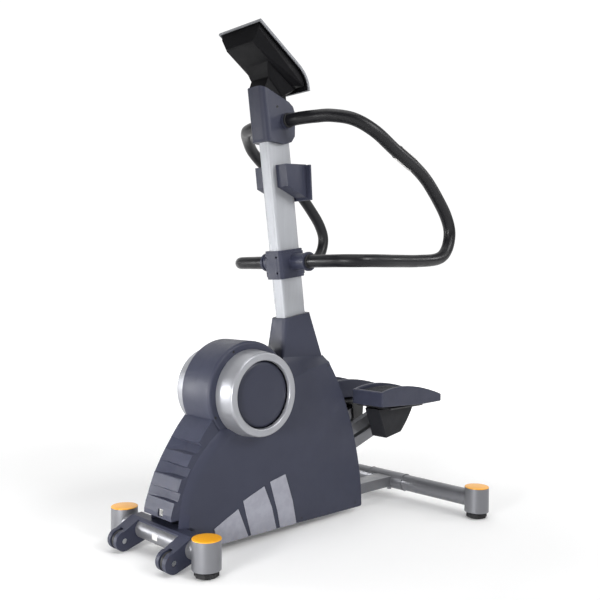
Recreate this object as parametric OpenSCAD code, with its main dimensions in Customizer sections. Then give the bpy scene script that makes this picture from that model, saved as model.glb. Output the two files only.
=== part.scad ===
// Two-pedal stair climber. +X is the user's left, -Y the front (drive drum), +Z up, millimetres.
// The origin is on the floor in the middle of the footprint.
// Outlines are written from the front feet: from_front() moves them to the part's own origin.

/* [Stance] */
// Distance from the front feet's axis to the origin
front_reach = 472.5; // [465:0.5:480]
// Distance between the front and rear feet's axes
wheelbase = 987; // [975:1:1000]
// Front foot distance from the middle plane
front_foot_x = 206; // [200:1:215]
// Rear foot distance from the middle plane
rear_foot_x = 380; // [340:1:400]
// Foot tube radius
foot_r = 40; // [38:0.5:42]
// Height of a foot tube's lower end
foot_bottom = 21; // [20:0.5:24]
// Height of a foot tube's upper end
foot_top = 101; // [98:1:104]
// Radius of the two base tubes
base_tube_r = 28; // [26:0.5:29]
// Height of the base tubes' axis
base_tube_z = 60; // [58:0.5:62]

/* [Frame] */
// Width of the centre rail
rail_w = 62; // [58:1:64]
// Height of the centre rail
rail_h = 36; // [30:1:38]
// Lean of the column towards the front, in degrees
lean = 7.8; // [7.5:0.1:8.1]
// Where the column's axis would meet the floor, behind the front feet
column_y = 574.8; // [572:0.2:578]
// Column width
column_w = 49; // [48:0.5:52]
// Column depth
column_d = 96; // [94:0.5:97]

/* [Stepping linkage] */
// Length of each arm between its pivots
arm_length = 560; // [555:1:562]
// Slope of the arms at the top of a step, in degrees
arm_tilt = 18.5; // [18.2:0.1:18.8]
// Vertical distance between a pedal's upper and lower arm
arm_spacing = 50.5; // [49:0.5:52]
// Depth of an arm
arm_h = 36; // [32:1:37]
// Thickness of an arm
arm_w = 22; // [18:1:22]
// Distance of the arms' middle from the middle plane
arm_x = 49; // [48.5:0.1:49.5]
// Radius of the pivot bolts
bolt_r = 8; // [6:0.5:8]

/* [Drive] */
// Radius of the flywheel
flywheel_r = 98; // [80:1:100]
// Radius of the belt on the drive pulley
drive_pulley_r = 72; // [60:1:74]
// Radius of the belt on the generator's pulley
small_pulley_r = 20; // [18:1:24]
// Radius of the clutch hubs that the straps wind on
hub_r = 29; // [26:1:30]

/* [Covers] */
// Distance of the side covers' outer face from the middle plane
cover_x = 81; // [80:0.5:82]
// Wall thickness of the plastic covers
wall = 3; // [2.5:0.5:3]
// Radius of the drive drum
drum_r = 154; // [152:0.5:155]
// Half width of the drive drum
drum_half = 68.5; // [68:0.5:70]
// Outer face of the silver rings, from the middle plane
ring_face = 135.5; // [130:0.5:138]

/* [Handlebars] */
// Radius of a handlebar with its grip
bar_r = 20; // [18:0.5:21]
// Distance of the side run from the middle plane
bar_reach = 298; // [290:1:300]

/* [Console] */
// Half width of the console
console_half = 99; // [96:1:102]

/* [Hidden] */
$fn = 64;
gap = 0.3;            // clearance between pieces that only meet
fit = 0.05;           // radial running clearance of a pin in its hole
slate = [0.25, 0.26, 0.30];
silver = [0.78, 0.79, 0.80];
black = [0.07, 0.07, 0.08];
amber = [0.98, 0.69, 0.12];
cover_grey = [0.56, 0.57, 0.61];

// Shafts and pivots, as [distance behind the front feet, height]
flywheel_axis = [262, 450.5];
drive_axis = [385, 385];
rear_pivot = [850, 323];
front_pivot = [rear_pivot[0] - arm_length * cos(arm_tilt), rear_pivot[1] - arm_length * sin(arm_tilt)];
spring_y = 585;
strap_y = 520;
shelf_z = 425;
shaft_half = 66.5;

// ---------------------------------------------------------------- helpers

// Moves a shape that is drawn from the front feet to the part's origin
module from_front() {
    translate([0, -front_reach, 0]) children();
}

// Moves a shape to the flywheel's axis in the middle plane
module at_flywheel() {
    translate([0, flywheel_axis[0], flywheel_axis[1]]) children();
}

// The child on the user's left for side 1, mirrored to the right for side -1
module on_side(side) {
    if (side > 0) children();
    else mirror([1, 0, 0]) children();
}

// Extrudes a [y, z] outline along X from x0 to x1
module slab(x0, x1) {
    translate([x0, 0, 0]) rotate([90, 0, 90]) linear_extrude(x1 - x0) children();
}

// A cylinder along X from x0 to x1, centred on the [y, z] point
module rod_x(point, r, x0, x1) {
    translate([x0, point[0], point[1]]) rotate([0, 90, 0]) cylinder(r = r, h = x1 - x0);
}

// A ring along X from x0 to x1
module ring_x(point, r_out, r_in, x0, x1) {
    difference() {
        rod_x(point, r_out, x0, x1);
        rod_x(point, r_in, x0 - 1, x1 + 1);
    }
}

// Places the child in the column's own frame: z runs up its axis
module along_column() {
    translate([0, column_y, 0]) rotate([lean, 0, 0]) children();
}

// A rectangle with rounded corners, centred on the origin
module round_rect(w, d, r) {
    square([w - 2 * r, d], center = true);
    square([w, d - 2 * r], center = true);
    for (x = [-1, 1], y = [-1, 1]) translate([x * (w / 2 - r), y * (d / 2 - r)]) circle(r = r);
}

// Points of a cubic Bezier curve through p[0] and p[3]
function curve(p, steps) = [
    for (i = [0:steps])
        let (t = i / steps, s = 1 - t)
        s * s * s * p[0] + 3 * s * s * t * p[1] + 3 * s * t * t * p[2] + t * t * t * p[3]
];

// The list from its last item to its first
function reversed(list) = [for (i = [len(list) - 1:-1:0]) list[i]];

// ---------------------------------------------------------------- base

// A hollow foot tube with a nut plate at its lower end, closed at the top by its cap
module foot_tube(x, y) {
    translate([x, y, foot_bottom]) difference() {
        cylinder(r = foot_r, h = foot_top - foot_bottom);
        translate([0, 0, 10]) cylinder(r = foot_r - wall, h = foot_top - foot_bottom);
        translate([0, 0, -1]) cylinder(r = 6 + fit, h = 30);
    }
}

// A cross tube at y between two feet at +-x, hollow, cut to sit on the foot tubes
module cross_tube(y, x) {
    difference() {
        rod_x([y, base_tube_z], base_tube_r, -x, x);
        rod_x([y, base_tube_z], base_tube_r - wall, -x - 1, x + 1);
        for (side = [-1, 1]) translate([side * x, y, 0]) cylinder(r = foot_r - wall, h = foot_top + 9);
    }
}

module front_base() {
    color(silver) from_front() {
        cross_tube(0, front_foot_x);
        for (side = [-1, 1]) foot_tube(side * front_foot_x, 0);
    }
}

module rear_base() {
    color(silver) from_front() {
        cross_tube(wheelbase, rear_foot_x);
        for (side = [-1, 1]) foot_tube(side * rear_foot_x, wheelbase);
        ring_x([wheelbase, base_tube_z], base_tube_r + 3, base_tube_r - 1, -79, -77.5);
        ring_x([wheelbase, base_tube_z], base_tube_r + 2, base_tube_r - 1, -77.5, 77.5);
        ring_x([wheelbase, base_tube_z], base_tube_r + 3, base_tube_r - 1, 77.5, 79);
        translate([0, wheelbase, base_tube_z - base_tube_r - 9]) cylinder(r = 9, h = 9, $fn = 6);
    }
}

// A slightly domed cap with a plug that fits in the tube
module foot_cap() {
    rotate_extrude() polygon([
        [0, -12], [foot_r - wall - 0.2, -12], [foot_r - wall - 0.2, 0], [foot_r, 0],
        [foot_r, 1.6], [foot_r - 1.5, 2.6], [foot_r * 0.6, 4], [0, 4.6]
    ]);
}

module foot_caps() {
    color(amber) from_front() {
        for (side = [-1, 1]) {
            translate([side * front_foot_x, 0, foot_top + 0.05]) foot_cap();
            translate([side * rear_foot_x, wheelbase, foot_top + 0.05]) foot_cap();
        }
    }
}

// A screw foot with a lobed knob: it stands on the floor and winds down
module leveller(x, y) {
    lobes = 8;
    color(black) from_front() translate([x, y, 0]) {
        difference() {
            union() {
                translate([0, 0, 3]) cylinder(r = 31, h = 13);
                translate([0, 0, 0]) cylinder(r1 = 25, r2 = 29, h = 3);
                for (i = [0:lobes - 1]) rotate(i * 360 / lobes) translate([27.5, 0, 4])
                    cylinder(r = 6.5, h = 11);
            }
            for (i = [0:lobes - 1]) rotate((i + 0.5) * 360 / lobes) translate([36, 0, -1])
                cylinder(r = 6, h = 20);
        }
        cylinder(r = 6, h = 48);
    }
}

module front_left_leveller() { leveller(front_foot_x, 0); }
module front_right_leveller() { leveller(-front_foot_x, 0); }
module rear_left_leveller() { leveller(rear_foot_x, wheelbase); }
module rear_right_leveller() { leveller(-rear_foot_x, wheelbase); }

// ---------------------------------------------------------------- transport wheels

wheel_axis = [-62, 34];
arm_in = 100;
arm_out = 148;
wheel_r = 27;
wheel_half = 7;

// The saddle over the front tube with two forked arms that carry the wheels
module transport_bracket() {
    mid = (arm_in + arm_out) / 2;
    color(slate) from_front() difference() {
        union() {
            slab(-arm_out, arm_out) polygon([[26, 62], [30, 82], [24, 93], [-8, 93], [-16, 88], [-16, 70]]);
            for (side = [-1, 1]) on_side(side) {
                slab(arm_in, arm_out) polygon([
                    [26, 62], [24, 93], [-8, 93], [-20, 86], wheel_axis + [-24, 17],
                    wheel_axis + [6, -28], [24, 30]
                ]);
                rod_x(wheel_axis, 29, arm_in, arm_out);
            }
        }
        rod_x([0, base_tube_z], base_tube_r + 0.1, -arm_out - 1, arm_out + 1);
        slab(-rail_w / 2 - gap, rail_w / 2 + gap) square([60, base_tube_z + rail_h / 2 + gap]);
        for (side = [-1, 1]) on_side(side) {
            rod_x(wheel_axis, bolt_r + fit, arm_in - 1, arm_out + 1);
            slab(mid - wheel_half - 1.5, mid + wheel_half + 1.5) polygon([
                wheel_axis + [-40, -40], wheel_axis + [26, -40], wheel_axis + [32, 14], wheel_axis + [4, 34],
                wheel_axis + [-40, 30]
            ]);
        }
    }
}

module transport_wheel(side) {
    mid = (arm_in + arm_out) / 2;
    color(black) from_front() on_side(side) difference() {
        translate([mid, wheel_axis[0], wheel_axis[1]]) rotate([0, 90, 0]) rotate_extrude() polygon([
            [bolt_r + fit, -wheel_half], [wheel_r - 9, -wheel_half], [wheel_r - 7, -wheel_half + 1.5],
            [wheel_r - 2, -wheel_half + 1.5], [wheel_r, -wheel_half + 3.5], [wheel_r, wheel_half - 3.5],
            [wheel_r - 2, wheel_half - 1.5], [wheel_r - 7, wheel_half - 1.5], [wheel_r - 9, wheel_half],
            [bolt_r + fit, wheel_half]
        ]);
        rod_x([0, base_tube_z], base_tube_r + gap, -1, arm_out);
    }
}

module left_transport_wheel() { transport_wheel(1); }
module right_transport_wheel() { transport_wheel(-1); }

// ---------------------------------------------------------------- frame

plate_in = 60.4;
plate_out = 65;
lug_in = 30;
lug_out = 36;
post_w = 36;
post_d = 72;
post_top = 772;

// The welded frame: rail, post, bearing plates, pivot lugs and the spring shelf
module main_frame() {
    lower_pivot = front_pivot - [0, arm_spacing];
    color(silver) from_front() difference() {
        union() {
            translate([-rail_w / 2, 0, base_tube_z - rail_h / 2]) cube([rail_w, wheelbase, rail_h]);
            intersection() {
                along_column() translate([0, 0, post_top / 2])
                    cube([post_w, post_d, post_top], center = true);
                translate([-100, 0, base_tube_z]) cube([200, 1000, 1000]);
            }
            for (side = [-1, 1]) on_side(side) {
                slab(plate_in, plate_out) polygon([
                    front_pivot + [-48, -100], front_pivot + [42, -100], [420, 318], [605, 402],
                    [605, shelf_z + 8], [440, 450], [300, 505], [224, 505], [214, 420],
                    front_pivot + [-44, 20]
                ]);
                slab(lug_in, lug_out) polygon([
                    front_pivot + [-30, -94], front_pivot + [30, -94], front_pivot + [24, 20],
                    front_pivot + [-24, 20]
                ]);
            }
            translate([-plate_out, front_pivot[0] - 34, 42]) cube([2 * plate_out, 60, 28]);
            translate([-plate_out, 478, shelf_z]) cube([2 * plate_out, 127, 8]);
        }
        // the base tubes that the rail is welded to
        for (y = [0, wheelbase]) rod_x([y, base_tube_z], base_tube_r + (y > 0 ? 2 : 0), -60, 60);
        // the hollow of the rail and of the post
        translate([-rail_w / 2 + wall, -1, base_tube_z - rail_h / 2 + wall])
            cube([rail_w - 2 * wall, wheelbase + 2, rail_h - 2 * wall]);
        intersection() {
            along_column() cube([post_w - 8, post_d - 8, 2 * post_top + 2], center = true);
            translate([-100, 0, base_tube_z + rail_h / 2 + 6]) cube([200, 1000, 1000]);
        }
        // shaft bearings and pivot bolts
        for (axis = [flywheel_axis, drive_axis]) rod_x(axis, 16 + fit, -80, 80);
        for (pivot = [front_pivot, lower_pivot]) rod_x(pivot, bolt_r + fit, -80, 80);
        // the springs' upper hooks
        for (side = [-1, 1]) translate([side * arm_x, spring_y, shelf_z - 1]) cylinder(r = 4, h = 10);
    }
}

// A shouldered bolt through the lug, the arm and the outer plate, for side 1
module arm_bolt(pivot) {
    rod_x(pivot, bolt_r, lug_in - 4, plate_out + 1);
    rod_x(pivot, 12.5, plate_out + gap, plate_out + 6);
    rod_x(pivot, 12, lug_in - 8, lug_in - gap);
}

module pivot_bolts() {
    lower_pivot = front_pivot - [0, arm_spacing];
    color(silver) from_front() for (side = [-1, 1]) on_side(side) {
        arm_bolt(front_pivot);
        difference() {
            arm_bolt(lower_pivot);
            translate([0, 0, base_tube_z]) cube([rail_w, 2000, rail_h], center = true);
        }
        rod_x(wheel_axis, bolt_r, arm_in + 3, arm_out - 3);
    }
}

// ---------------------------------------------------------------- stepping linkage

// An arm from its front pivot along +Y, before it is tilted
module arm_bar() {
    difference() {
        union() {
            for (y = [0, arm_length]) rod_x([y, 0], arm_h / 2, arm_x - arm_w / 2, arm_x + arm_w / 2);
            translate([arm_x - arm_w / 2, 0, -arm_h / 2]) cube([arm_w, arm_length, arm_h]);
        }
        translate([arm_x - arm_w / 2 + wall, 26, -arm_h / 2 + wall])
            cube([arm_w - 2 * wall, arm_length - 52, arm_h - 2 * wall]);
        for (y = [0, arm_length]) rod_x([y, 0], bolt_r + fit, 0, 100);
    }
}

// Places the child at a pivot and tilts it as the arms rest
module tilted(pivot) {
    translate([0, pivot[0], pivot[1]]) rotate([arm_tilt, 0, 0]) children();
}

strap_along = (strap_y - front_pivot[0]) / cos(arm_tilt);
spring_along = (spring_y - front_pivot[0]) / cos(arm_tilt);

module upper_arm(side) {
    color(silver) from_front() on_side(side) tilted(front_pivot) {
        arm_bar();
        difference() {
            translate([arm_x - 10, strap_along - 14, arm_h / 2]) cube([20, 24, 9]);
            rod_x([strap_along - 2, arm_h / 2 + 5], 2.5, 0, 100);
        }
        difference() {
            translate([arm_x - 3, spring_along - 9, arm_h / 2]) cube([6, 18, 12]);
            rod_x([spring_along, arm_h / 2 + 6], 3, 0, 100);
        }
    }
}

module lower_arm(side) {
    color(silver) from_front() on_side(side) tilted(front_pivot - [0, arm_spacing]) arm_bar();
}

module left_upper_arm() { upper_arm(1); }
module right_upper_arm() { upper_arm(-1); }
module left_lower_arm() { lower_arm(1); }
module right_lower_arm() { lower_arm(-1); }

pedal_in = 60;
pedal_out = 195;

// The clevis on the arms' rear pivots with the deck plate that carries the pedal
module pedal_bracket(side) {
    lower_pivot = rear_pivot - [0, arm_spacing];
    color(black) from_front() on_side(side) {
        difference() {
            union() {
                for (x = [32, 62]) slab(x, x + 4.5) polygon([
                    lower_pivot + [-18, -14], lower_pivot + [14, -18], lower_pivot + [22, 0],
                    rear_pivot + [30, 36], rear_pivot + [-30, 36]
                ]);
                translate([32, 775, 357]) cube([152, 170, 5]);
                slab(104, 108) polygon([[790, 358], [925, 358], [880, 300], [810, 300]]);
            }
            for (pivot = [rear_pivot, lower_pivot]) rod_x(pivot, bolt_r - 1, 30, 70);
        }
        for (pivot = [rear_pivot, lower_pivot]) {
            rod_x(pivot, bolt_r, 32, 66.5);
            rod_x(pivot, 12, 66.5, 71);
        }
    }
}

// The faceted plastic cover under the pedal
module bracket_cover(side) {
    color(black) from_front() on_side(side) difference() {
        slab(88, 151) polygon(concat(
            [[753, 356], [791, 257], [868, 270]],
            curve([[868, 270], [890, 292], [915, 320], [934, 356]], 6)
        ));
        slab(91, 148) polygon(concat(
            [[758, 360], [794, 261], [866, 273]],
            curve([[866, 273], [887, 294], [911, 321], [929, 360]], 6)
        ));
    }
}

module left_pedal_bracket() { pedal_bracket(1); }
module right_pedal_bracket() { pedal_bracket(-1); }
module left_bracket_cover() { bracket_cover(1); }
module right_bracket_cover() { bracket_cover(-1); }

// Crowned upper edge of a pedal's rims, from front to rear
pedal_crown = curve([[718, 420], [800, 444], [905, 436], [1036, 390]], 12);
mat_line = [for (i = [0:11]) pedal_crown[i] + [13, -16]];

// The moulded pedal: a crowned body with raised rims and a recessed tread
module pedal(side) {
    color(slate) from_front() on_side(side) difference() {
        slab(pedal_in, pedal_out) polygon(concat([[718, 372]], pedal_crown, [[1036, 364], [934, 362.3]]));
        slab(pedal_in + 14, pedal_out - 14) polygon(concat(mat_line, [[1024, 500], [731, 500]]));
        translate([pedal_in + 4, 750, 350]) cube([pedal_out - pedal_in - 8, 210, 12.3]);
        translate([pedal_in + 10, 735, 366]) cube([pedal_out - pedal_in - 20, 60, 20]);
    }
}

module left_pedal() { pedal(1); }
module right_pedal() { pedal(-1); }

// The ribbed rubber mat in the pedal's recess
module tread_mat(side) {
    color(black) from_front() on_side(side) slab(pedal_in + 14.2, pedal_out - 14.2) polygon(concat(
        [for (i = [0:11]) mat_line[i] + [0.4 - i * 0.08, 0.4]],
        [for (i = [11:-1:0]) mat_line[i] + [0.4 - i * 0.08, 5]]
    ));
}

module left_tread_mat() { tread_mat(1); }
module right_tread_mat() { tread_mat(-1); }

// ---------------------------------------------------------------- drive

// A one-way clutch hub that the strap winds on
module clutch_hub(side) {
    color(silver) from_front() on_side(side) difference() {
        union() {
            rod_x(drive_axis, hub_r, arm_x - 10, arm_x + 10);
            for (x = [arm_x - 11, arm_x + 9]) rod_x(drive_axis, hub_r + 5, x, x + 2);
        }
        rod_x(drive_axis, bolt_r + fit, 0, 100);
        for (i = [0:5]) translate([0, drive_axis[0], drive_axis[1]]) rotate([i * 60, 0, 0])
            translate([0, 0, -drive_axis[1]]) rod_x([19, drive_axis[1]], 4, 0, 100);
    }
}

module left_clutch_hub() { clutch_hub(1); }
module right_clutch_hub() { clutch_hub(-1); }

strap_top = drive_axis + [hub_r + 1.5, -4];
strap_low = front_pivot + [strap_along * cos(arm_tilt) - 10, strap_along * sin(arm_tilt) + 31];

// The flat strap from the hub to the upper arm
module pull_strap(side) {
    color(black) from_front() on_side(side) slab(arm_x - 8, arm_x + 8) polygon([
        strap_top, strap_top + [2.2, 0.6], strap_low + [2.2, 0.6], strap_low
    ]);
}

module left_pull_strap() { pull_strap(1); }
module right_pull_strap() { pull_strap(-1); }

spring_low = front_pivot[1] + spring_along * sin(arm_tilt) + 36;

// A closed-wound extension spring made of half turns, with a hook stem at each end
module return_spring(side) {
    turns = 12;
    coil_r = 7.4;
    wire_r = 2.2;
    rise = (shelf_z - 12 - spring_low) / turns;
    pitch = atan(rise / 2 / (2 * coil_r));
    color(silver) from_front() on_side(side) translate([arm_x, spring_y, 0]) {
        for (i = [0:turns - 1]) translate([0, 0, spring_low + (i + 0.25) * rise]) {
            rotate([0, -pitch, 0]) rotate([0, 0, 180]) rotate_extrude(angle = 180, $fn = 32)
                translate([coil_r, 0]) circle(r = wire_r, $fn = 16);
            translate([0, 0, rise / 2]) rotate([0, pitch, 0]) rotate_extrude(angle = 180, $fn = 32)
                translate([coil_r, 0]) circle(r = wire_r, $fn = 16);
        }
        translate([0, 0, shelf_z - 14]) cylinder(r = coil_r + wire_r, h = 4);
        translate([0, 0, shelf_z - 12]) cylinder(r = 3.5, h = 12);
        translate([0, 0, spring_low - 3]) cylinder(r = coil_r + wire_r, h = 4);
    }
}

module left_return_spring() { return_spring(1); }
module right_return_spring() { return_spring(-1); }

// A pulley with flanges: the belt runs on r between x = -7 and 7
module pulley(axis, r) {
    rod_x(axis, r, -9, 9);
    for (x = [-9, 7]) rod_x(axis, r + 4.5, x, x + 2);
}

module flywheel() {
    color(silver) from_front() difference() {
        union() {
            ring_x(flywheel_axis, flywheel_r, flywheel_r - 26, 16, 50);
            rod_x(flywheel_axis, flywheel_r - 20, 28, 38);
            rod_x(flywheel_axis, 22, 18, 50);
        }
        rod_x(flywheel_axis, bolt_r + 0.02, 0, 100);
        for (i = [0:4]) translate([0, flywheel_axis[0], flywheel_axis[1]]) rotate([i * 72, 0, 0])
            translate([0, 0, -flywheel_axis[1]]) rod_x([46, flywheel_axis[1]], 13, 0, 100);
    }
}

module flywheel_shaft() {
    color(silver) from_front() {
        rod_x(flywheel_axis, bolt_r, -shaft_half, shaft_half);
        pulley(flywheel_axis, small_pulley_r);
    }
}

// The wound stator of the generator, bolted to the right-hand bearing plate
module generator_stator() {
    color(black) from_front() difference() {
        union() {
            rod_x(flywheel_axis, 74, -plate_in + 1, -58);
            ring_x(flywheel_axis, 70, 30, -58, -24);
            for (i = [0:2]) translate([0, flywheel_axis[0], flywheel_axis[1]]) rotate([i * 120 + 30, 0, 0])
                translate([0, 0, -flywheel_axis[1]]) rod_x([34, flywheel_axis[1]], 8, -plate_in + 0.05, -57);
        }
        rod_x(flywheel_axis, 12, -80, 0);
        for (i = [0:17]) translate([0, flywheel_axis[0], flywheel_axis[1]]) rotate([i * 20, 0, 0])
            translate([-50, 68, -2]) cube([40, 10, 4]);
    }
}

module drive_shaft() {
    color(silver) from_front() {
        rod_x(drive_axis, bolt_r, -shaft_half, shaft_half);
        for (side = [-1, 1]) on_side(side) rod_x(drive_axis, 11, 9.5, 12);
    }
}

module drive_pulley() {
    color(slate) from_front() difference() {
        union() {
            ring_x(drive_axis, drive_pulley_r, drive_pulley_r - 10, -9, 9);
            for (x = [-9, 7]) ring_x(drive_axis, drive_pulley_r + 4.5, drive_pulley_r - 8, x, x + 2);
            rod_x(drive_axis, drive_pulley_r - 5, -3, 3);
            rod_x(drive_axis, 20, -9, 9);
        }
        rod_x(drive_axis, bolt_r + 0.02, -20, 20);
        for (i = [0:5]) translate([0, drive_axis[0], drive_axis[1]]) rotate([i * 60, 0, 0])
            translate([0, 0, -drive_axis[1]]) rod_x([40, drive_axis[1]], 12, -20, 20);
    }
}

// The flat outline of a belt round both pulleys, grown by extra
module belt_loop(extra) {
    hull() {
        translate(flywheel_axis) circle(r = small_pulley_r + extra, $fn = 48);
        translate(drive_axis) circle(r = drive_pulley_r + extra, $fn = 96);
    }
}

module drive_belt() {
    color(black) from_front() slab(-6, 6) difference() {
        belt_loop(3.4);
        belt_loop(0.9);
    }
}

module shaft_bearings() {
    color(silver) from_front() for (side = [-1, 1], axis = [flywheel_axis, drive_axis])
        on_side(side) ring_x(axis, 16, bolt_r + fit, plate_in, plate_out + 0.4);
}

// ---------------------------------------------------------------- column and handlebars

column_base = 606;
column_top = 1312;
bar_high = [425, 1285];
bar_low = [473, 846];
clamp_mid = 848;
column_shift = 5;
column_corner = 12;
clamp_split = 16;

// The column's cross-section, grown by extra all over
module column_section(extra) {
    translate([0, column_shift]) round_rect(column_w + extra, column_d + extra, column_corner + extra / 2);
}

// The anodised extrusion that slides over the frame's post
module column() {
    color(silver) from_front() along_column() translate([0, 0, column_base]) difference() {
        linear_extrude(column_top - column_base) column_section(0);
        translate([0, 0, -1]) linear_extrude(column_top - column_base + 2) column_section(-8);
    }
}

// The casting at the column's top: it holds the handlebars and the console
module mast_head() {
    color(slate) from_front() difference() {
        union() {
            intersection() {
                slab(-41.5, 41.5) polygon([
                    [290, 1390], [290, 1250], [343, 1228], [353, 1216], [425, 1213], [450, 1222],
                    [464, 1242], [465, 1312], [455, 1334], [437, 1346], [318, 1384], [308, 1383]
                ]);
                along_column() translate([0, 27, 1150]) linear_extrude(300) round_rect(83, 172, 21);
            }
            for (side = [-1, 1]) on_side(side) rod_x(bar_high, bar_r + 4, 38, 52);
        }
        along_column() translate([0, 0, 1100]) linear_extrude(column_top - 1100 + 1) column_section(0.2);
        for (side = [-1, 1]) on_side(side) rod_x([389, 1324], 4.5, 34, 50);
    }
}

// Outer shape of the lower clamp, in the column's frame
module clamp_shape() {
    translate([0, 2, clamp_mid - 45]) linear_extrude(90) round_rect(70, 112, 16);
    translate([0, 2, clamp_mid - 37]) linear_extrude(74) round_rect(75, 117, 18);
}

// What both halves of the clamp leave free: the column, the bars and the screw holes
module clamp_bores() {
    from_front() {
        along_column() translate([0, 0, clamp_mid - 60]) linear_extrude(120) column_section(0.2);
        for (side = [-1, 1]) on_side(side) rod_x(bar_low, bar_r + gap, 46, 110);
        along_column() for (x = [-24, 24], z = [clamp_mid - 25, clamp_mid + 25])
            translate([x, -80, z]) rotate([-90, 0, 0]) cylinder(r = 3.5, h = 34);
    }
}

module lower_clamp_front() {
    color(slate) difference() {
        from_front() {
            intersection() {
                along_column() clamp_shape();
                along_column() translate([-100, -200, 0]) cube([200, 200 + clamp_split, 1500]);
            }
            for (side = [-1, 1]) on_side(side) {
                rod_x(bar_low, bar_r + 7, 30, 101);
                rod_x(bar_low, bar_r + 10, 93, 101);
            }
        }
        clamp_bores();
    }
}

module lower_clamp_rear() {
    color(slate) difference() {
        from_front() difference() {
            along_column() clamp_shape();
            along_column() translate([-100, -200, 0]) cube([200, 200 + clamp_split + gap, 1500]);
            for (side = [-1, 1]) on_side(side) rod_x(bar_low, bar_r + 7 + gap, 25, 110);
        }
        clamp_bores();
    }
}

// Points that a handlebar passes through, from its upper to its lower end
bar_points = [
    [52.3, bar_high[0], bar_high[1]], [62, bar_high[0], bar_high[1]], [80, bar_high[0], bar_high[1]],
    [112, 428, 1285], [154, 440, 1285], [200, 466, 1285],
    [250, 512, 1273], [286, 568, 1239], [bar_reach, 650, 1190], [bar_reach, 745, 1149],
    [bar_reach, 808, 1110], [bar_reach, 868, 1054], [bar_reach, 913, 1001], [bar_reach, 934, 948],
    [bar_reach, 918, 892], [bar_reach, 872, 861], [bar_reach, 770, 851], [bar_reach, 640, 848],
    [294, 560, 847], [275, 508, 846], [235, 479, 846], [180, 473, 846], [116, bar_low[0], bar_low[1]],
    [80, bar_low[0], bar_low[1]], [46.5, bar_low[0], bar_low[1]]
];

// A point of the smooth curve through p, in span i at t from 0 to 1
function spline(p, i, t) =
    let (
        n = len(p) - 1,
        a = i > 0 ? p[i - 1] : 2 * p[0] - p[1],
        b = p[i],
        c = p[i + 1],
        d = i + 2 <= n ? p[i + 2] : 2 * p[n] - p[n - 1]
    )
    0.5 * (2 * b + (c - a) * t + (2 * a - 5 * b + 4 * c - d) * t * t + (3 * b - a - 3 * c + d) * t * t * t);

// The smooth curve through p with the given steps in each span
function smooth_path(p, steps) = concat(
    [for (i = [0:len(p) - 2], k = [0:steps - 1]) spline(p, i, k / steps)],
    [p[len(p) - 1]]
);

function unit(v) = v / norm(v);

// A round tube of radius r swept along a path
module swept_tube(path, r, sides) {
    n = len(path);
    skew = [0.45, 0.35, 0.82];
    rings = [
        for (i = [0:n - 1])
            let (
                t = unit(path[min(i + 1, n - 1)] - path[max(i - 1, 0)]),
                u = unit(cross(skew, t)),
                v = cross(t, u)
            )
            for (k = [0:sides - 1])
                path[i] + r * (cos(360 * k / sides) * u + sin(360 * k / sides) * v)
    ];
    walls = [
        for (i = [0:n - 2], k = [0:sides - 1])
            let (a = i * sides + k, b = i * sides + (k + 1) % sides)
            each [[b + sides, b, a], [a + sides, b + sides, a]]
    ];
    caps = [
        [for (k = [0:sides - 1]) k],
        [for (k = [sides - 1:-1:0]) (n - 1) * sides + k]
    ];
    polyhedron(points = rings, faces = concat(walls, caps));
}

module handlebar(side) {
    color(black) from_front() on_side(side) swept_tube(smooth_path(bar_points, 3), bar_r, 20);
}

module left_handlebar() { handlebar(1); }
module right_handlebar() { handlebar(-1); }

// A curved metal plate on the side run: at is its direction round the bar, 90 is downwards
module sensor_plate(at) {
    translate([bar_reach, 697, 1170]) rotate([-113.3, 0, 0]) rotate([0, 0, at - 28])
        rotate_extrude(angle = 56) translate([bar_r + 1, -42]) square([1.2, 84]);
}

module pulse_sensors() {
    color(silver) from_front() for (side = [-1, 1], at = [118, 298]) on_side(side) sensor_plate(at);
}

// Two open bins, one on each side of the column, joined by a plate behind it
module cup_holder() {
    front = 397;
    back = 480;
    bin_out = 74;
    bin_in = column_w / 2 + 0.7;
    color(slate) from_front() {
        for (side = [-1, 1]) on_side(side) difference() {
            slab(bin_in, bin_out) polygon([
                [front, 1146], [front + 9, 1078], [back + 8.5, 1047], [back + 2, 1152]
            ]);
            slab(bin_in + wall, bin_out - wall) polygon([
                [front + wall, 1170], [front + 9 + wall, 1080], [back - 1, 1055], [back - 5, 1170]
            ]);
        }
        slab(-91, 91) polygon([[481.5, 1150], [488.3, 1040], [495, 1040], [488, 1150]]);
    }
}

// ---------------------------------------------------------------- console

plate_slope = 33.3;
console_top = [271, 1555];
console_flat = 205;

// Places the child on the console's face: y runs down the face, z points out of it
module on_console() {
    translate([0, console_top[0], console_top[1]]) rotate([-plate_slope, 0, 0]) children();
}

// The face's outline seen from the side, from the top edge round the curl; drop moves it inwards
function face_line(drop) = concat(
    [[0, -drop]],
    curve([[console_flat - 25, -drop], [console_flat + 22, -drop], [246 - drop / 2, -12 - drop],
        [268 - drop * 0.9, -37 - drop * 0.4]], 8)
);

module face_sheet(x, high, low) {
    slab(-x, x) polygon(concat(face_line(high), reversed(face_line(low))));
}

module console_trim() {
    color(cover_grey) from_front() on_console() difference() {
        face_sheet(console_half, 0, 8);
        difference() {
            face_sheet(console_half - 4, -1, 9);
            translate([-200, -1, -60]) cube([400, 5, 90]);
            translate([-200, 262, -70]) cube([400, 20, 90]);
        }
    }
}

// The fascia with its window and the key's hole
module console_front() {
    color(black) from_front() on_console() difference() {
        intersection() {
            face_sheet(console_half - 4.2, 1, 6);
            translate([-200, 4.2, -70]) cube([400, 257.6, 90]);
        }
        translate([-70, 24, -20]) cube([140, 96, 40]);
        translate([0, 168, -20]) cylinder(r = 11.3, h = 40);
    }
}

module display_lens() {
    color([0.12, 0.14, 0.16]) from_front() on_console() translate([-69.7, 24.3, -4.5])
        cube([139.4, 95.4, 3.8]);
}

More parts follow.
